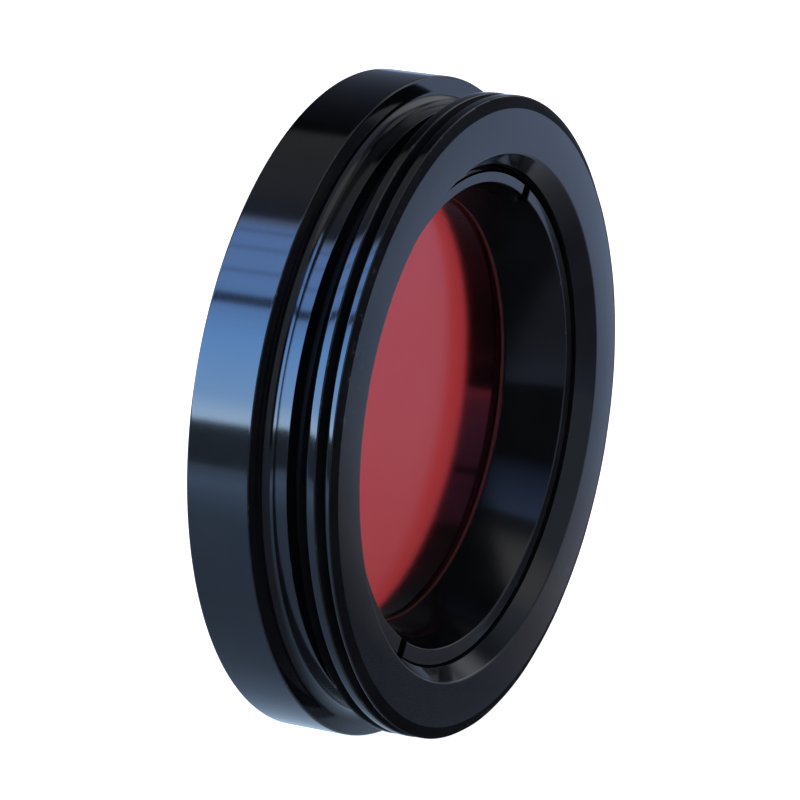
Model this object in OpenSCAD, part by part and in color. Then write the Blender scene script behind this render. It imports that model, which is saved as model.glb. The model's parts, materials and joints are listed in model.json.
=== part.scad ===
// Mounted optical filter: a ring-shaped cell with a male thread on its nose, holding a disc of red
// glass against a rear lip with a slotted retaining ring.
// The optical axis is X. The threaded front points along +X and Z is up.
// The origin is on the optical axis, at the middle of the male thread.

/* [Cell] */
// Outer diameter of the smooth rim that the fingers turn
rim_d = 26.2; // [26:0.1:28]
// Length of the rim along the optical axis
rim_len = 2.65; // [2:0.05:4]
// Length of the cell from rear face to front face
cell_len = 5.95; // [5.9:0.05:7.2]
// Diameter of the pilot between the rim and the thread
pilot_d = 24.05; // [23.5:0.05:24.3]
// Radius of the fillet between the rim's shoulder and the pilot
shoulder_fillet = 0.45; // [0.1:0.05:0.5]
// Diameter at the bottom of the thread relief
relief_d = 23.2; // [22.6:0.1:23.4]
// Edge break on the rim's two corners
rim_break = 0.12; // [0.05:0.01:0.3]

/* [Male thread] */
// Major diameter of the male thread, a 1 inch 32 tpi camera thread
thread_d = 25.4; // [25.3:0.05:25.5]
// Distance between neighbouring crests
thread_pitch = 0.794; // [0.75:0.001:0.8]
// Root diameter of the groove between the crests
thread_root_d = 24.6; // [24.4:0.05:24.8]
// Width of a crest's flat top
crest_len = 0.33; // [0.2:0.01:0.4]
// Distance from the front face to the back of the first crest
first_crest_back = 0.42; // [0.4:0.01:0.5]
// Length of the lead-in bevel along the axis
lead_bevel = 0.22; // [0.1:0.01:0.3]
// Outer diameter of the flat front face
front_face_d = 24.4; // [24:0.1:24.8]

/* [Bore] */
// Diameter of the bore that the glass and the retaining ring sit in
bore_d = 19.9; // [19.7:0.05:20.1]
// Diameter of the bore's mouth at the front face
mouth_d = 20.9; // [20.6:0.1:21.4]
// Depth of the bevel at the mouth
mouth_depth = 0.7; // [0.4:0.05:0.75]
// Clear diameter through the rear lip
aperture_d = 18.46; // [18:0.02:18.6]
// Thickness of the rear lip
lip_len = 1.34; // [1:0.02:2]

/* [Filter stack] */
// Diameter of the glass disc
glass_d = 19.8; // [19.4:0.05:19.8]
// Thickness of the glass disc
glass_len = 1.0; // [0.8:0.05:1.2]
// Thickness of the cushion gasket between lip and glass
gasket_len = 0.2; // [0.1:0.05:0.3]
// Thickness of the slip washer between glass and retaining ring
washer_len = 0.15; // [0.1:0.05:0.3]
// Inner diameter of the gasket
gasket_id = 18.5; // [18.46:0.02:18.8]
// Inner diameter of the washer
washer_id = 17; // [16.9:0.1:18.4]

/* [Retaining ring] */
// Outer diameter of the retaining ring
ring_d = 19.8; // [19.6:0.05:19.8]
// Inner diameter of the retaining ring at its front
ring_mouth_d = 18.46; // [18.2:0.02:18.7]
// Inner diameter of the retaining ring at its rear, which its tapered wall narrows to
ring_throat_d = 16.9; // [16:0.1:18.2]
// Length of the retaining ring along the axis
ring_len = 2.46; // [2:0.02:2.5]
// Width of each spanner slot
slot_w = 0.6; // [0.5:0.05:1]
// Depth of each spanner slot
slot_depth = 0.5; // [0.3:0.05:1]
// Angle of the slots from straight up, turning away from -Y
slot_angle = 34.5; // [0:0.5:90]
// Edge break on the retaining ring's corners
ring_break = 0.06; // [0.03:0.01:0.12]

/* [Hidden] */
$fn = 180;

// Places along the axis, measured from the middle of the male thread
second_crest_back = first_crest_back + thread_pitch;
front_x = (second_crest_back + lead_bevel) / 2;
rear_x = front_x - cell_len;
shoulder_x = rear_x + rim_len;
relief_front_x = front_x - second_crest_back;
relief_len = 1.05;
relief_back_x = relief_front_x - relief_len;
lip_x = rear_x + lip_len;
gasket_x = lip_x;
glass_x = gasket_x + gasket_len;
washer_x = glass_x + glass_len;
ring_x = washer_x + washer_len;
ring_front_x = ring_x + ring_len;

// The two walls of a thread groove lean 30 degrees from square
flank_run = (thread_d - thread_root_d) / 2 * tan(30);
// The walls of the relief lean the same way
relief_run = (thread_d - relief_d) / 2 * tan(30);
relief_back_run = (pilot_d - relief_d) / 2 * tan(30);
// Room that a cutter needs past a face
over = 1;
slot_reach = 2;

// Turns a half outline of [x, r] points about the optical axis
module turned(outline) {
    rotate([90, 0, 90])
        rotate_extrude()
            polygon([for (p = outline) [p[1], p[0]]]);
}

// Points on the concave quarter circle between the shoulder and the pilot
function fillet_points(steps = 8) = [
    for (i = [0:steps])
        let (a = 90 * i / steps)
        [
            shoulder_x + shoulder_fillet * (1 - sin(a)),
            pilot_d / 2 + shoulder_fillet * (1 - cos(a))
        ]
];

// A washer from x0 to x1 with square corners
module washer(x0, x1, outer_d, inner_d) {
    turned([
        [x0, inner_d / 2],
        [x1, inner_d / 2],
        [x1, outer_d / 2],
        [x0, outer_d / 2],
    ]);
}

// The cell: one turned piece with the rim, the pilot, the thread, the bore and the rear lip
module cell() {
    rim_r = rim_d / 2;
    crest_r = thread_d / 2;
    root_r = thread_root_d / 2;
    first_back = front_x - first_crest_back;
    second_front = relief_front_x + crest_len;
    color([0.04, 0.05, 0.07])
        turned(concat(
            [
                [rear_x, aperture_d / 2 + rim_break],
                [rear_x, rim_r - rim_break],
                [rear_x + rim_break, rim_r],
                [shoulder_x - rim_break, rim_r],
                [shoulder_x, rim_r - rim_break],
            ],
            [for (i = [0:8]) fillet_points()[8 - i]],
            [
                [relief_back_x, pilot_d / 2],
                [relief_back_x + relief_back_run, relief_d / 2],
                [relief_front_x - relief_run, relief_d / 2],
                [relief_front_x, crest_r],
                [second_front, crest_r],
                [second_front + flank_run, root_r],
                [first_back - flank_run, root_r],
                [first_back, crest_r],
                [front_x - lead_bevel, crest_r],
                [front_x, front_face_d / 2],
                [front_x, mouth_d / 2],
                [front_x - mouth_depth, bore_d / 2],
                [lip_x, bore_d / 2],
                [lip_x, aperture_d / 2],
                [rear_x + rim_break, aperture_d / 2],
            ]
        ));
}

// The thin black cushion that the glass is pressed against
module seat_gasket() {
    color([0.06, 0.06, 0.06])
        washer(gasket_x, glass_x, glass_d, gasket_id);
}

// The red glass disc
module filter_glass() {
    color([0.62, 0.1, 0.13, 0.6])
        translate([glass_x, 0, 0])
            rotate([0, 90, 0])
                cylinder(d = glass_d, h = glass_len);
}

// The thin red fibre washer that keeps the turning ring from scratching the glass
module slip_washer() {
    color([0.4, 0.12, 0.12])
        washer(washer_x, ring_x, glass_d, washer_id);
}

// The retaining ring, tapered inside, with two spanner slots across its front
module retaining_ring() {
    outer_r = ring_d / 2;
    mouth_r = ring_mouth_d / 2;
    throat_r = ring_throat_d / 2;
    color([0.05, 0.06, 0.08])
        difference() {
            turned([
                [ring_x, throat_r],
                [ring_front_x, mouth_r],
                [ring_front_x, outer_r - ring_break],
                [ring_front_x - ring_break, outer_r],
                [ring_x + ring_break, outer_r],
                [ring_x, outer_r - ring_break],
            ]);
            for (side = [0, 180])
                rotate([-slot_angle - side, 0, 0])
                    translate([ring_front_x - slot_depth, -slot_w / 2, mouth_r - slot_reach])
                        cube([slot_depth + over, slot_w, 2 * slot_reach]);
        }
}

cell();
seat_gasket();
filter_glass();
slip_washer();
retaining_ring();
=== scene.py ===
import json
import math

import bmesh
import bpy
import numpy as np
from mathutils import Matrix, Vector


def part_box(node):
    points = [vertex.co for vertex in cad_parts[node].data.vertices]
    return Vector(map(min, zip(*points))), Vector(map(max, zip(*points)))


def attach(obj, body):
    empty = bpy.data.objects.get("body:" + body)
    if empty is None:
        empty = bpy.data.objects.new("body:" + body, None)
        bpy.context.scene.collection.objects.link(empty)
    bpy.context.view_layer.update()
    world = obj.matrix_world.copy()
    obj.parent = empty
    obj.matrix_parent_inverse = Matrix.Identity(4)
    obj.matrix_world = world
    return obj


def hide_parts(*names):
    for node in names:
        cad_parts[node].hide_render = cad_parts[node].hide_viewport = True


# A mounted optical filter. The optical axis is X, the threaded front points along +X and Z is up.
# Shapes are worked out in millimetres and turned into metres when a mesh is made.
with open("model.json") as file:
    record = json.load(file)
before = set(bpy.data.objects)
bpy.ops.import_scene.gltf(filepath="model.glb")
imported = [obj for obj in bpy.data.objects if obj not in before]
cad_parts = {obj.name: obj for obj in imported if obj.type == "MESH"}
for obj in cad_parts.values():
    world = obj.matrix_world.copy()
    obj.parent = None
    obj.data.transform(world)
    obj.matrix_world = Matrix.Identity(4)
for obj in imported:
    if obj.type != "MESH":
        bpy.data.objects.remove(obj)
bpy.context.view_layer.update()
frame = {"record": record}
MM = 0.001


def extent(node):
    """Where a CAD node starts and ends along X, and its outer radius, in millimetres."""
    low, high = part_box(node)
    return low.x / MM, high.x / MM, high.y / MM


# ---------------------------------------------------------------- sizes, in millimetres
cell_rear, cell_front, rim_r = extent("cell")
gasket_x, glass_x, gasket_r = extent("seat_gasket")
glass_x, glass_front, glass_r = extent("filter_glass")
_, _, washer_r = extent("slip_washer")
ring_x, ring_front, ring_r = extent("retaining_ring")
mounts = {mount["name"]: mount for mount in frame["record"]["mounts"]}
crest_r = mounts["male_thread"]["dims"]["r_mm"]

RIM_LEN = 2.65
SHOULDER_X = cell_rear + RIM_LEN
PILOT_R = 12.02
SHOULDER_FILLET = 0.45
RELIEF_R = 11.5
RELIEF_BACK = cell_front - 2.26  # where the relief starts, behind the front face
RELIEF_RUN = 0.12  # how far its two steep walls lean
FACE_R = 12.2
LEAD_BEVEL = 0.14
MOUTH_R = 10.45
MOUTH_DEPTH = 0.7
BORE_R = 9.96
LEAD_IN = 0.16  # plain stretch of bore before its thread starts, from the ring's front
THREAD_END = 0.1  # plain stretch of bore behind its thread, from the ring's rear
APERTURE_R = 9.23
GASKET_R = 9.25
WASHER_R = 8.5
RING_MOUTH_R = 9.23
RING_THROAT_R = 8.45
EDGE = 0.1
FINE_EDGE = 0.035
RUBBED_RADIUS = 0.08  # sharper corners than this lose their black
COLUMNS = 256
FINE_STEPS = 16  # rows for each turn of the retaining ring's thread and the bore's
SLOT_HALF = 0.3
SLOT_DEPTH = 0.5
SLOT_ANGLE = 34.5
SLOT_BREAK = 0.03
RING_BEVEL = 0.2  # length of the bevel at the rear end of the retaining ring's thread
THREAD_GAP = 0.04  # how far that bevel goes below the thread's root
RING_BREAK = 0.05  # the edge break at the front end of the thread

# Male thread: pitch, where the back of a crest lies at angle zero, crest width and depth
MALE = dict(
    pitch=0.794, lead=cell_front - 1.47, crest=0.33, tip=crest_r, root=12.3, blend=0.02
)
THREAD_BACK = cell_front - 1.45
# The retaining ring's thread and the bore's, which mesh with 0.05 mm of room all round
RING_MALE = dict(pitch=0.5, lead=0.0, crest=0.07, tip=ring_r, root=9.62, blend=0.012)
BORE_FEMALE = dict(pitch=0.5, lead=0.0, crest=0.19, tip=9.98, root=9.72, blend=0.012)
BORE_FEMALE["lead"] = RING_MALE["lead"] - (BORE_FEMALE["crest"] - RING_MALE["crest"]) / 2
FLANK_SLOPE = 1 / math.tan(math.radians(30))


# ---------------------------------------------------------------- outlines
def soft_ramp(value, blend):
    """Zero below zero and value above it, with a rounded turn between the two."""
    return (np.sqrt(value * value + blend * blend) + value) / 2


def thread_radius(x, angle, thread):
    """The radius of a threaded wall at x and angle, and how much its crest edge is rubbed there."""
    pitch, crest = thread["pitch"], thread["crest"]
    middle = thread["lead"] + crest / 2 + pitch * angle / (2 * math.pi)
    offset = np.abs((x - middle + pitch / 2) % pitch - pitch / 2) - crest / 2
    depth = thread["tip"] - thread["root"]
    drop = soft_ramp(offset, thread["blend"]) * FLANK_SLOPE
    drop = depth - soft_ramp(depth - drop, thread["blend"])
    rubbed = np.exp(-((offset / (1.5 * thread["blend"])) ** 2))
    return thread["tip"] - drop, rubbed


def rounded(corners, guard=0.03):
    """Points [x, r, wear] of an outline, with an arc at each corner (x, r, radius).
    A guard point beside each arc keeps the flat faces flat when they are shaded smooth."""
    points = []
    for i, (x, r, radius) in enumerate(corners):
        here = np.array([x, r])
        if radius == 0 or i in (0, len(corners) - 1):
            points.append([x, r, 0])
            continue
        back = np.array(corners[i - 1][:2]) - here
        ahead = np.array(corners[i + 1][:2]) - here
        back_room, ahead_room = np.linalg.norm(back), np.linalg.norm(ahead)
        back, ahead = back / back_room, ahead / ahead_room
        half = math.acos(np.clip(back @ ahead, -1, 1)) / 2
        reach = radius / math.tan(half)
        centre = here + (back + ahead) / np.linalg.norm(back + ahead) * radius / math.sin(half)
        start, end = here + back * reach - centre, here + ahead * reach - centre
        sweep = math.pi - 2 * half
        steps = 4 + round(16 * radius)
        side = math.copysign(1, start[0] * end[1] - start[1] * end[0])
        if reach + guard < back_room / 2:
            points.append([*(here + back * (reach + guard)), 0])
        for k in range(steps + 1):
            turn = side * sweep * k / steps
            spoke = [
                start[0] * math.cos(turn) - start[1] * math.sin(turn),
                start[0] * math.sin(turn) + start[1] * math.cos(turn),
            ]
            rub = math.sin(math.pi * k / steps) if radius <= RUBBED_RADIUS else 0
            points.append([*(centre + spoke), rub])
        if reach + guard < ahead_room / 2:
            points.append([*(here + ahead * (reach + guard)), 0])
    return points


def plain_rows(points, angles, dull_shade=(1, 0)):
    """Rows [x, r, wear, dull_shade] of a turned wall: one row for each outline point, the same at
    every angle. The rows whose x is in the range dull_shade take the second, rougher finish, whose
    shine is cut down as painted shade."""
    rows = []
    for x, r, wear in points:
        values = (x, r, wear, float(dull_shade[0] <= x <= dull_shade[1]))
        rows.append([np.full(angles.shape, value) for value in values])
    return rows


def threaded_rows(start, end, angles, thread, bevels=((0, 0), (0, 0)), steps=40, dull_shade_inside=0):
    """Rows of a threaded wall from start to end, which may run either way along X.
    A bevel (length, radius at the end) trims the thread at an end of a male one.
    What lies within the radius dull_shade_inside takes the second, rougher finish, whose shine is cut
    down as painted shade."""
    low, high = min(start, end), max(start, end)
    (low_len, low_r), (high_len, high_r) = bevels
    inner_low, inner_high = low + low_len, high - high_len
    stations = [low + low_len * k / 12 for k in range(12)] if low_len else []
    rows = [np.full(angles.shape, x) for x in stations]
    pitch = thread["pitch"]
    count = math.ceil(((inner_high - inner_low) / pitch + 1) * steps)
    for k in range(count + 1):
        station = inner_low - pitch + k * pitch / steps
        rows.append(np.clip(station + pitch * angles / (2 * math.pi), inner_low, inner_high))
    if high_len:
        rows += [np.full(angles.shape, high - high_len * k / 12) for k in range(11, -1, -1)]
    made = []
    for x in rows:
        r, rubbed = thread_radius(x, angles, thread)
        if low_len:
            slope = (thread["tip"] + 0.02 - low_r) / low_len
            r = np.minimum(r, low_r + (x - low) * slope)
        if high_len:
            slope = (thread["tip"] + 0.02 - high_r) / high_len
            r = np.minimum(r, high_r + (high - x) * slope)
        made.append([x, r, rubbed, (r < dull_shade_inside).astype(float)])
    return made if start < end else made[::-1]


def lathe(name, rows, angles, body, materials):
    """A closed piece from rows round the optical axis. The first row joins the last one.
    Faces whose four corners are in dull_shade take the second material: rougher, with its shine cut
    down as painted shade."""
    x, r, wear, dull_shade = (np.array([row[i] for row in rows]) for i in range(4))
    turn = np.broadcast_to(angles, x.shape)
    places = np.stack([x, r * np.cos(turn), r * np.sin(turn)], axis=-1) * MM
    row_count, column_count = x.shape
    index = np.arange(row_count * column_count).reshape(row_count, column_count)
    following = np.roll(index, -1, axis=0)
    faces = np.stack(
        [index[:, :-1], index[:, 1:], following[:, 1:], following[:, :-1]], axis=-1
    )
    mesh = bpy.data.meshes.new(name)
    mesh.from_pydata(places.reshape(-1, 3).tolist(), [], faces.reshape(-1, 4).tolist())
    mesh.attributes.new("wear", "FLOAT", "POINT").data.foreach_set("value", wear.ravel())
    for material in materials:
        mesh.materials.append(material)
    # the recessed faces take the rougher copy, whose cut shine darkens them as painted shade
    matt_shade = dull_shade.ravel()[faces].min(axis=-1).astype(int)
    mesh.polygons.foreach_set("material_index", matt_shade.ravel())
    shape = bmesh.new()
    shape.from_mesh(mesh)
    bmesh.ops.remove_doubles(shape, verts=shape.verts, dist=0.0004 * MM)
    bmesh.ops.dissolve_degenerate(shape, edges=shape.edges, dist=0.0002 * MM)
    bmesh.ops.recalc_face_normals(shape, faces=shape.faces)
    shape.to_mesh(mesh)
    shape.free()
    mesh.shade_smooth()
    mesh.set_sharp_from_angle(angle=math.radians(32))
    piece = bpy.data.objects.new(name, mesh)
    bpy.context.scene.collection.objects.link(piece)
    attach(piece, body)
    return piece


# ---------------------------------------------------------------- materials
def new_material(name):
    """An empty node material, with its tree and its Principled shader."""
    material = bpy.data.materials.new(name)
    material.use_nodes = True
    return material, material.node_tree, material.node_tree.nodes["Principled BSDF"]


def add(tree, kind, inputs=None, **settings):
    """A node of a kind, with its settings and its inputs' values or links."""
    made = tree.nodes.new("ShaderNode" + kind)
    for key, value in settings.items():
        setattr(made, key, value)
    for key, value in (inputs or {}).items():
        if isinstance(value, bpy.types.NodeSocket):
            tree.links.new(value, made.inputs[key])
        else:
            made.inputs[key].default_value = value
    return made


def noise(tree, place, scale, detail=3.0, roughness=0.5):
    """Even grey noise in object space, scale in spots per metre."""
    values = {"Vector": place, "Scale": scale, "Detail": detail, "Roughness": roughness}
    return add(tree, "TexNoise", values).outputs["Fac"]


def spread(tree, value, low, high, to_low, to_high):
    """Stretches low..high of a value onto to_low..to_high, and holds it there outside."""
    keys = {"Value": value, "From Min": low, "From Max": high, "To Min": to_low, "To Max": to_high}
    return add(tree, "MapRange", keys).outputs["Result"]


def blend_colour(tree, factor, first, second):
    """The first colour where factor is 0 and the second where it is 1."""
    made = add(tree, "Mix", {"Factor": factor}, data_type="RGBA")
    for socket, value in ((made.inputs[6], first), (made.inputs[7], second)):
        if isinstance(value, bpy.types.NodeSocket):
            tree.links.new(value, socket)
        else:
            socket.default_value = (*value, 1)
    return made.outputs[2]


def anodised(name, deep, pale, smooth, rough, shine=0.5):
    """Black anodised aluminium: fine lathe marks, a faint bluish mottle, and rubbed edges."""
    material, tree, shader = new_material(name)
    place = add(tree, "TexCoord").outputs["Object"]
    parts = add(tree, "SeparateXYZ", {"Vector": place}).outputs
    ring = add(tree, "CombineXYZ", {"Y": parts["Y"], "Z": parts["Z"]}).outputs["Vector"]
    radius = add(tree, "VectorMath", {0: ring}, operation="LENGTH").outputs["Value"]
    # along the axis plus outwards: lathe marks ring both the cylinders and the faces
    track = add(tree, "Math", {0: parts["X"], 1: radius}, operation="ADD").outputs["Value"]
    marks = add(
        tree, "TexNoise", {"W": track, "Scale": 26000.0, "Detail": 3.0}, noise_dimensions="1D"
    ).outputs["Fac"]
    mottle = noise(tree, place, 420.0, 4.0, 0.6)
    grain = noise(tree, place, 16000.0, 2.0, 0.6)
    colour = blend_colour(tree, spread(tree, mottle, 0.35, 0.65, 0, 1), deep, pale)
    wear = add(tree, "Attribute", attribute_name="wear").outputs["Fac"]
    chips = spread(tree, noise(tree, place, 2600.0, 4.0, 0.65), 0.58, 0.74, 0, 0.5)
    rubbed = add(tree, "Math", {0: wear, 1: chips}, operation="MULTIPLY").outputs["Value"]
    colour = blend_colour(tree, rubbed, colour, (0.1, 0.11, 0.13))
    tree.links.new(colour, shader.inputs["Base Color"])
    mixed = add(tree, "Math", {0: grain, 1: marks}, operation="ADD").outputs["Value"]
    finish = spread(tree, mixed, 0.7, 1.3, smooth, rough)
    tree.links.new(finish, shader.inputs["Roughness"])
    shader.inputs["IOR"].default_value = 1.6
    shader.inputs["Specular IOR Level"].default_value = shine
    height = add(tree, "Math", {0: grain, 1: 0.35, 2: marks}, operation="MULTIPLY_ADD")
    bump = add(tree, "Bump", {"Strength": 0.35, "Distance": 0.0000012, "Height": height.outputs[0]})
    tree.links.new(bump.outputs["Normal"], shader.inputs["Normal"])
    return material


def red_glass():
    """Deep red filter glass, coloured through its body, with a faint haze that softens its shine."""
    material, tree, shader = new_material("red_glass")
    place = add(tree, "TexCoord").outputs["Object"]
    film = spread(tree, noise(tree, place, 260.0, 4.0), 0.4, 0.7, 0, 1)
    tint = blend_colour(tree, film, (1.0, 0.5, 0.46), (0.98, 0.54, 0.5))
    tree.links.new(tint, shader.inputs["Base Color"])
    haze = spread(tree, noise(tree, place, 9000.0, 2.0), 0.6, 0.8, 0.13, 0.2)
    tree.links.new(haze, shader.inputs["Roughness"])
    shader.inputs["IOR"].default_value = 1.36  # below bare glass, because the coating cuts its shine
    shader.inputs["Transmission Weight"].default_value = 1.0
    absorb = add(tree, "VolumeAbsorption")
    absorb.inputs["Color"].default_value = (0.61, 0.09, 0.15, 1)
    absorb.inputs["Density"].default_value = 2520.0
    tree.links.new(absorb.outputs["Volume"], tree.nodes["Material Output"].inputs["Volume"])
    return material


def rubber():
    """Matt black rubber sheet with a fine moulded grain."""
    material, tree, shader = new_material("gasket_rubber")
    place = add(tree, "TexCoord").outputs["Object"]
    grain = noise(tree, place, 7000.0, 4.0, 0.65)
    patches = spread(tree, noise(tree, place, 700.0), 0.35, 0.65, 0, 1)
    colour = blend_colour(tree, patches, (0.012, 0.012, 0.013), (0.024, 0.023, 0.023))
    tree.links.new(colour, shader.inputs["Base Color"])
    tree.links.new(spread(tree, grain, 0.3, 0.7, 0.62, 0.85), shader.inputs["Roughness"])
    bump = add(tree, "Bump", {"Strength": 0.5, "Distance": 0.000006, "Height": grain})
    tree.links.new(bump.outputs["Normal"], shader.inputs["Normal"])
    return material


def washer_fibre():
    """Dull red vulcanised fibre, with its fibres lying one way."""
    material, tree, shader = new_material("washer_fibre")
    place = add(tree, "TexCoord").outputs["Object"]
    stretched = add(tree, "Mapping", {"Vector": place, "Scale": (1, 1, 6)}).outputs["Vector"]
    fibres = noise(tree, stretched, 1500.0, 4.0)
    colour = blend_colour(
        tree, spread(tree, fibres, 0.35, 0.65, 0, 1), (0.05, 0.012, 0.014), (0.08, 0.02, 0.022)
    )
    tree.links.new(colour, shader.inputs["Base Color"])
    tree.links.new(spread(tree, fibres, 0.3, 0.7, 0.45, 0.6), shader.inputs["Roughness"])
    bump = add(tree, "Bump", {"Strength": 0.3, "Distance": 0.000003, "Height": fibres})
    tree.links.new(bump.outputs["Normal"], shader.inputs["Normal"])
    return material


# ---------------------------------------------------------------- pieces
def build_cell(glossy, matt_shade):
    """The turned cell: rim, pilot, relief, male thread, mouth, threaded bore and rear lip."""
    angles = np.linspace(0, 2 * math.pi, COLUMNS + 1)
    back_and_rim = rounded([
        (cell_rear, APERTURE_R + EDGE, 0),
        (cell_rear, rim_r, EDGE),
        (SHOULDER_X, rim_r, 0.07),
        (SHOULDER_X, PILOT_R, SHOULDER_FILLET),
        (RELIEF_BACK, PILOT_R, FINE_EDGE),
        (RELIEF_BACK + RELIEF_RUN, RELIEF_R, 0.1),
        (THREAD_BACK - RELIEF_RUN, RELIEF_R, 0.1),
        (THREAD_BACK, MALE["root"], 0),
    ])
    male = threaded_rows(
        THREAD_BACK, cell_front, angles, MALE, bevels=((0, 0), (LEAD_BEVEL, FACE_R)),
        dull_shade_inside=crest_r - 0.03,
    )
    lead_in, thread_end = ring_front - LEAD_IN, ring_x + THREAD_END
    face_and_mouth = rounded([
        (cell_front, FACE_R, 0),
        (cell_front, MOUTH_R, 0.12),
        (cell_front - MOUTH_DEPTH, BORE_R, FINE_EDGE),
        (lead_in, BORE_R, 0),
    ])
    female = threaded_rows(
        lead_in, thread_end, angles, BORE_FEMALE, steps=FINE_STEPS, dull_shade_inside=BORE_R + 1
    )
    bore = rounded([
        (thread_end, BORE_R, 0),
        (gasket_x, BORE_R, 0.05),
        (gasket_x, APERTURE_R, 0.06),
        (cell_rear, APERTURE_R, 0.08),
        (cell_rear, APERTURE_R + 0.3, 0),
    ])
    # the relief, the male thread's roots, the bore behind the mouth and its thread take the shaded
    # copy
    rows = plain_rows(back_and_rim[1:], angles, dull_shade=(RELIEF_BACK + 0.03, THREAD_BACK)) + male
    rows += plain_rows(face_and_mouth[1:], angles, dull_shade=(lead_in, cell_front - MOUTH_DEPTH))
    rows += female + plain_rows(bore, angles)
    piece = lathe("cell_body", rows, angles, "cell", (glossy, matt_shade))
    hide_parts("cell")


def slot_columns():
    """Column angles of the retaining ring, each with its offset from a slot's middle, or none,
    and how far the ring's front is cut back there."""
    middles = [math.radians(90 - SLOT_ANGLE + turn) for turn in (180, 360)]
    across = [
        (-SLOT_HALF - 2 * SLOT_BREAK, 0), (-SLOT_HALF - SLOT_BREAK, 0), (-SLOT_HALF, SLOT_BREAK),
        (-SLOT_HALF, SLOT_DEPTH - 0.06), (-SLOT_HALF + 0.02, SLOT_DEPTH - 0.02),
        (-SLOT_HALF + 0.06, SLOT_DEPTH),
    ]
    across += [(0, SLOT_DEPTH)] + [(-offset, cut) for offset, cut in across[::-1]]
    columns = []
    room = math.radians(2.9)
    for k in range(COLUMNS):
        angle = 2 * math.pi * k / COLUMNS
        gaps = [abs((angle - middle + math.pi) % (2 * math.pi) - math.pi) for middle in middles]
        if min(gaps) > room:
            columns.append((angle, 0.0, 0.0))
    for middle in middles:
        columns += [(middle % (2 * math.pi), offset, cut) for offset, cut in across]
    order = sorted(range(len(columns)), key=lambda k: (columns[k][0], columns[k][1]))
    columns = [columns[k] for k in order]
    first = columns[0]
    return columns + [(first[0] + 2 * math.pi, first[1], first[2])]


def build_retaining_ring(material):
    """The retaining ring: tapered inside, threaded outside, with two slots across its front."""
    columns = slot_columns()
    angles = np.array([column[0] for column in columns])
    offsets = np.array([column[1] for column in columns])
    cuts = np.array([column[2] for column in columns])
    bevels = ((RING_BEVEL, RING_MALE["root"] - THREAD_GAP), (RING_BREAK, ring_r - RING_BREAK))
    taper = (RING_MOUTH_R - RING_THROAT_R) / (ring_front - ring_x)
    inside = rounded([
        (ring_x, RING_MALE["root"] - THREAD_GAP, 0),
        (ring_x, RING_THROAT_R, 0.06),
        (ring_front - SLOT_DEPTH, RING_MOUTH_R - SLOT_DEPTH * taper, 0),
        (ring_front, RING_MOUTH_R, 0.05),
        (ring_front, RING_MALE["root"] + 0.1, 0),
    ])
    thread = threaded_rows(
        ring_front, ring_x, angles, RING_MALE, bevels=bevels, steps=FINE_STEPS
    )
    rows = plain_rows(inside, angles) + thread
    for row in rows:
        row[0] = np.minimum(row[0], ring_front - cuts)
    radii = np.array([row[1] for row in rows])
    turn = angles + np.arcsin(offsets / radii)
    piece = lathe("slotted_ring", rows, turn, "retaining_ring", [material])
    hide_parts("retaining_ring")


def flat_ring(name, node, inner_r, outer_r, edge, body, material):
    """A thin flat ring with rounded edges that stands for a CAD node."""
    low_x, high_x, _ = extent(node)
    middle = (inner_r + outer_r) / 2
    angles = np.linspace(0, 2 * math.pi, COLUMNS + 1)
    outline = rounded([
        (low_x, middle, 0),
        (low_x, outer_r, edge),
        (high_x, outer_r, edge),
        (high_x, inner_r, edge),
        (low_x, inner_r, edge),
        (low_x, middle, 0),
    ])
    piece = lathe(name, plain_rows(outline[:-1], angles), angles, body, [material])
    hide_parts(node)
    return piece


def build_glass(material):
    """The glass disc, with ground bevels on its two edges."""
    angles = np.linspace(0, 2 * math.pi, COLUMNS + 1)
    outline = rounded([
        (glass_x, 0, 0),
        (glass_x, glass_r, 0.08),
        (glass_front, glass_r, 0.08),
        (glass_front, 0, 0),
    ])
    piece = lathe("glass_disc", plain_rows(outline, angles), angles, "cell", [material])
    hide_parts("filter_glass")


DEEP_BLACK = (0.0016, 0.0018, 0.0024)
PALE_BLACK = (0.0034, 0.0039, 0.0052)
build_cell(
    anodised("anodised_cell", DEEP_BLACK, PALE_BLACK, 0.06, 0.13),
    # the copy for the relief, thread roots and bore: rougher, and its shine cut to 0.05 so they show
    # dark, as painted shade
    anodised("anodised_groove_shaded", DEEP_BLACK, PALE_BLACK, 0.5, 0.6, shine=0.05),
)
build_retaining_ring(anodised("anodised_ring", DEEP_BLACK, PALE_BLACK, 0.08, 0.16))
build_glass(red_glass())
gasket = flat_ring("gasket_ring", "seat_gasket", GASKET_R, gasket_r, 0.06, "cell", rubber())
washer = flat_ring(
    "washer_ring", "slip_washer", WASHER_R, washer_r, 0.04, "slip_washer", washer_fibre()
)


# ---------------------------------------------------------------- camera
AZIMUTH = math.radians(27.1)
ELEVATION = math.radians(17.8)
UNIT = FACE_R * MM  # the front face's radius, in which the view was worked out
LENS = 219.7


def add_camera():
    """A long lens in front of the object, a little to the left of its axis and above it."""
    sin_a, cos_a = math.sin(AZIMUTH), math.cos(AZIMUTH)
    sin_e, cos_e = math.sin(ELEVATION), math.cos(ELEVATION)
    back = Vector((sin_a * cos_e, -cos_a * cos_e, sin_e))
    right = Vector((cos_a, sin_a, 0))
    up = Vector((-sin_a * sin_e, cos_a * sin_e, cos_e))
    face = Vector((cell_front * MM, 0, 0))
    data = bpy.data.cameras.new("camera")
    data.lens = LENS
    data.sensor_width = 36
    camera = bpy.data.objects.new("camera", data)
    camera.location = face + UNIT * (15.634 * back - 0.2683 * right + 0.0608 * up)
    camera.rotation_euler = (-back).to_track_quat("-Z", "Y").to_euler()
    bpy.context.scene.collection.objects.link(camera)
    bpy.context.scene.camera = camera


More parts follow.
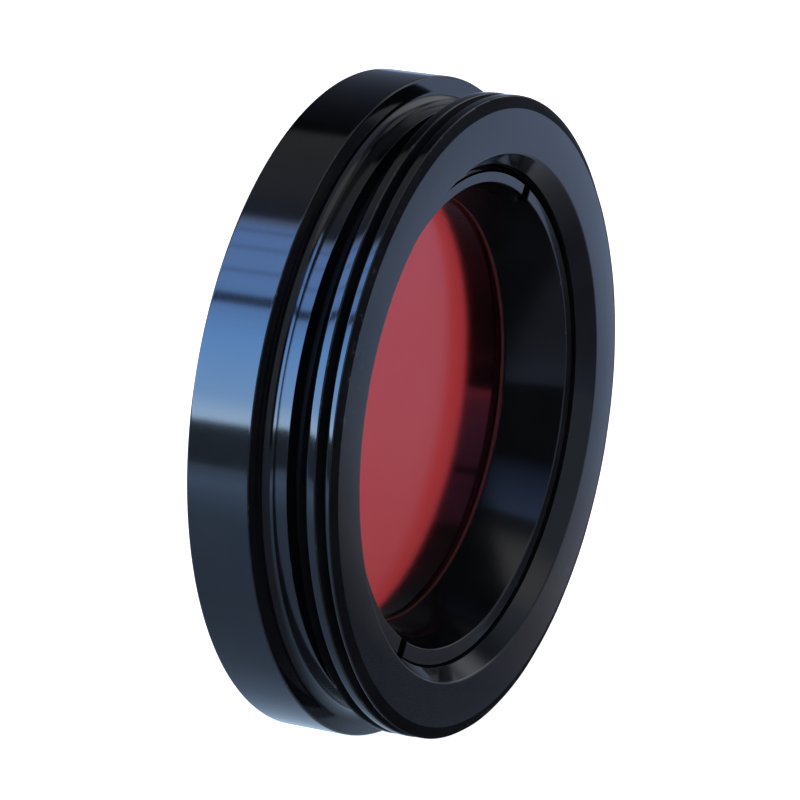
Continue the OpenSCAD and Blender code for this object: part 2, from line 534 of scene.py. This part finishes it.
# ---------------------------------------------------------------- studio
ROOM = 0.5  # half the width of the floor and the radius of the reflected room, in metres
FLOOR_Z = -rim_r * MM
# Pale panels of the reflected room: direction, radius of the lit middle, radius where its soft
# edge ends (both as shares of ROOM) and colour
PANELS = (
    ((0.34, 0.88, 0.3), 0.18, 0.32, (0.08, 0.082, 0.09)),
    ((-0.02, 0.77, 0.63), 0.14, 0.28, (0.03, 0.03, 0.033)),
    ((-0.1, 0.97, 0.16), 0.12, 0.25, (0.04, 0.04, 0.045)),
    ((0.33, 0.05, 0.94), 0.24, 0.42, (0.06, 0.06, 0.062)),
)


def stage_object(name, mesh, material, seen_by=()):
    """A staged object that only the named kinds of ray see."""
    mesh.materials.append(material)
    made = bpy.data.objects.new(name, mesh)
    bpy.context.scene.collection.objects.link(made)
    kinds = ("camera", "diffuse", "glossy", "transmission", "volume_scatter", "shadow")
    for kind in kinds:
        setattr(made, "visible_" + kind, kind in seen_by)
    return made


def sheet_mesh(name, half, z):
    """A square sheet, level at height z."""
    mesh = bpy.data.meshes.new(name)
    corners = [(-half, -half, z), (half, -half, z), (half, half, z), (-half, half, z)]
    mesh.from_pydata(corners, [], [(0, 1, 2, 3)])
    return mesh


def colour_ramp(tree, value, low, high, stops):
    """Colours by value: stops are (value, colour), low to high."""
    factor = spread(tree, value, low, high, 0, 1)
    ramp = add(tree, "ValToRGB", {"Fac": factor})
    elements = ramp.color_ramp.elements
    while len(elements) < len(stops):
        elements.new(0.5)
    for element, (at, colour) in zip(elements, stops):
        element.position = (at - low) / (high - low)
        element.color = (*colour, 1)
    return ramp.outputs["Color"]


def reflected_only(material, tree, otherwise):
    """A glow that shows only on paths that have met a glossy surface, and the other shader elsewhere.
    Returns the glow. The material isn't sampled as a lamp."""
    material.cycles.emission_sampling = "NONE"
    depth = add(tree, "LightPath").outputs["Glossy Depth"]
    reflected = add(tree, "Math", {0: depth, 1: 0.5}, operation="GREATER_THAN").outputs["Value"]
    glow = add(tree, "Emission")
    choice = add(tree, "MixShader", {0: reflected, 1: otherwise.outputs[0], 2: glow.outputs[0]})
    tree.links.new(choice.outputs[0], tree.nodes["Material Output"].inputs["Surface"])
    return glow


def add_floor():
    """A pale floor, bright enough that the object's shadow on it stays faint. The glossy surfaces
    see it as a blue-grey table top with a painted shadow of the object, dark beside it."""
    material, tree, shader = new_material("pale_floor")
    place = add(tree, "TexCoord").outputs["Object"]
    patches = spread(tree, noise(tree, place, 40.0), 0.3, 0.7, 0, 1)
    colour = blend_colour(tree, patches, (0.86, 0.86, 0.87), (0.88, 0.88, 0.88))
    tree.links.new(colour, shader.inputs["Base Color"])
    tree.links.new(colour, shader.inputs["Emission Color"])
    shader.inputs["Roughness"].default_value = 0.9
    shader.inputs["Emission Strength"].default_value = 1.2
    glow = reflected_only(material, tree, shader)
    parts = add(tree, "SeparateXYZ", {"Vector": place}).outputs
    beside = colour_ramp(tree, parts["Y"], -0.12, 0.08, [
        (-0.12, (0.17, 0.23, 0.32)),
        (-0.096, (0.17, 0.23, 0.32)),
        (-0.09, (0.45, 0.65, 1.0)),
        (-0.06, (0.68, 1.05, 1.75)),
        (-0.036, (0.35, 0.53, 0.82)),
        (-0.02, (0.27, 0.385, 0.61)),
        (-0.011, (0.23, 0.33, 0.5)),
        (-0.008, (0.3, 0.42, 0.64)),
        (-0.004, (0.55, 0.75, 1.0)),
        (0.015, (0.42, 0.6, 0.9)),
        (0.08, (0.42, 0.54, 0.82)),
    ])
    # in front of it the table darkens from the far side towards the object, a painted shadow of the
    # object darkest at y = 4 mm, and stays dark on the near side
    before = colour_ramp(tree, parts["Y"], -0.06, 0.07, [
        (-0.06, (0.17, 0.21, 0.32)),
        (-0.02, (0.13, 0.15, 0.21)),
        (0.004, (0.09, 0.105, 0.145)),
        (0.011, (0.17, 0.17, 0.21)),
        (0.016, (0.25, 0.26, 0.31)),
        (0.025, (0.30, 0.33, 0.45)),
        (0.032, (0.33, 0.41, 0.58)),
        (0.048, (0.34, 0.44, 0.67)),
        (0.07, (0.42, 0.54, 0.82)),
    ])
    side = spread(tree, parts["X"], -0.003, 0.001, 0, 1)
    tree.links.new(blend_colour(tree, side, beside, before), glow.inputs["Color"])
    seen_by = ("camera", "diffuse", "glossy", "transmission")
    stage_object("floor", sheet_mesh("floor", ROOM * 2, FLOOR_Z), material, seen_by)


def falloff(tree, value, low, high):
    """One below low, fading to zero at high."""
    keys = {"Value": value, "From Min": low, "From Max": high, "To Min": 1.0, "To Max": 0.0}
    return add(tree, "MapRange", keys, interpolation_type="SMOOTHSTEP").outputs["Result"]


def add_reflected_room():
    """What the glossy surfaces see above the horizon: a tall window with thin glazing bars on the
    rear left, the end of another on the front left, a dim ceiling, and pale panels on the right."""
    material = bpy.data.materials.new("reflected_room")
    material.use_nodes = True
    tree = material.node_tree
    tree.nodes.remove(tree.nodes["Principled BSDF"])
    glow = reflected_only(material, tree, add(tree, "BsdfTransparent"))
    place = add(tree, "NewGeometry").outputs["Position"]
    parts = add(tree, "SeparateXYZ", {"Vector": place}).outputs
    front = add(tree, "Math", {0: parts["Y"], 1: -1.0}, operation="MULTIPLY").outputs["Value"]
    angle = add(tree, "Math", {0: parts["Z"], 1: front}, operation="ARCTAN2").outputs["Value"]
    degrees = add(tree, "Math", {0: angle}, operation="DEGREES").outputs["Value"]
    dark = (0.012, 0.015, 0.024)
    window = colour_ramp(tree, degrees, -10.0, 180.0, [
        (-10, (0.017, 0.023, 0.032)),
        (4.5, (0.017, 0.023, 0.032)),
        (6, (0.5, 0.72, 1.0)),
        (14, (0.26, 0.48, 0.86)),
        (34, (0.17, 0.39, 0.84)),
        (44, (0.14, 0.29, 0.64)),
        (73, (0.13, 0.24, 0.53)),
        (76, (0.10, 0.13, 0.22)),
        (78, dark),
        (90, (0.022, 0.023, 0.028)),
        (116, (0.021, 0.021, 0.022)),
        (119, (0.0, 0.0, 0.0)),
        (150, (0.006, 0.007, 0.010)),
        (180, (0.014, 0.017, 0.024)),
    ])
    for at, width, depth in ((47, 2.4, 0.95), (57, 0.8, 0.5), (65.5, 0.8, 0.4), (72, 0.8, 0.5)):
        away = add(tree, "Math", {0: degrees, 1: at}, operation="SUBTRACT").outputs["Value"]
        away = add(tree, "Math", {0: away}, operation="ABSOLUTE").outputs["Value"]
        bar = spread(tree, away, width * 0.5, width, depth, 0)
        window = blend_colour(tree, bar, window, dark)
    front_window = colour_ramp(tree, degrees, -10.0, 180.0, [
        (-10, (0.002, 0.002, 0.0025)),
        (36, (0.002, 0.002, 0.0025)),
        (44, (0.012, 0.018, 0.036)),
        (64, (0.030, 0.045, 0.088)),
        (67, (0.010, 0.011, 0.013)),
        (110, (0.012, 0.013, 0.015)),
        (130, (0.006, 0.007, 0.010)),
        (180, (0.010, 0.012, 0.015)),
    ])
    side = spread(tree, parts["X"], -0.1 * ROOM, 0.05 * ROOM, 0, 1)
    colour = blend_colour(tree, side, window, front_window)
    side = spread(tree, parts["X"], 0.3 * ROOM, 0.45 * ROOM, 0, 1)
    colour = blend_colour(tree, side, colour, (0.025, 0.03, 0.038))
    for direction, near, far, shade in PANELS:
        middle = [ROOM * step for step in direction]
        away = add(tree, "VectorMath", {0: place, 1: middle}, operation="DISTANCE").outputs["Value"]
        lit = falloff(tree, away, near * ROOM, far * ROOM)
        colour = blend_colour(tree, lit, colour, shade)
    tree.links.new(colour, glow.inputs["Color"])
    glow.inputs["Strength"].default_value = 10.0
    mesh = bpy.data.meshes.new("reflected_room")
    shape = bmesh.new()
    bmesh.ops.create_uvsphere(shape, u_segments=64, v_segments=32, radius=ROOM)
    shape.to_mesh(mesh)
    shape.free()
    stage_object("reflected_room", mesh, material, ("camera", "diffuse", "glossy", "transmission"))


def add_soft_light():
    """White surroundings for the floor and the rough parts, and one broad lamp from above."""
    world = bpy.data.worlds.new("white_surroundings")
    world.use_nodes = True
    tree = world.node_tree
    path = add(tree, "LightPath").outputs["Is Diffuse Ray"]
    strength = spread(tree, path, 0, 1, 1.0, 0.3)
    tree.nodes["Background"].inputs["Color"].default_value = (1, 1, 1, 1)
    tree.links.new(strength, tree.nodes["Background"].inputs["Strength"])
    bpy.context.scene.world = world
    world.cycles_visibility.glossy = False
    lamp = bpy.data.lights.new("soft_lamp", "AREA")
    lamp.shape = "DISK"
    lamp.size = 0.35
    lamp.energy = 0.8
    holder = bpy.data.objects.new("soft_lamp", lamp)
    holder.location = (0.15, -0.25, 0.45)
    holder.rotation_euler = Vector(holder.location).to_track_quat("Z", "Y").to_euler()
    holder.visible_glossy = False
    holder.visible_camera = False
    bpy.context.scene.collection.objects.link(holder)


add_camera()
add_floor()
add_reflected_room()
add_soft_light()
bpy.context.scene.view_settings.view_transform = "Standard"
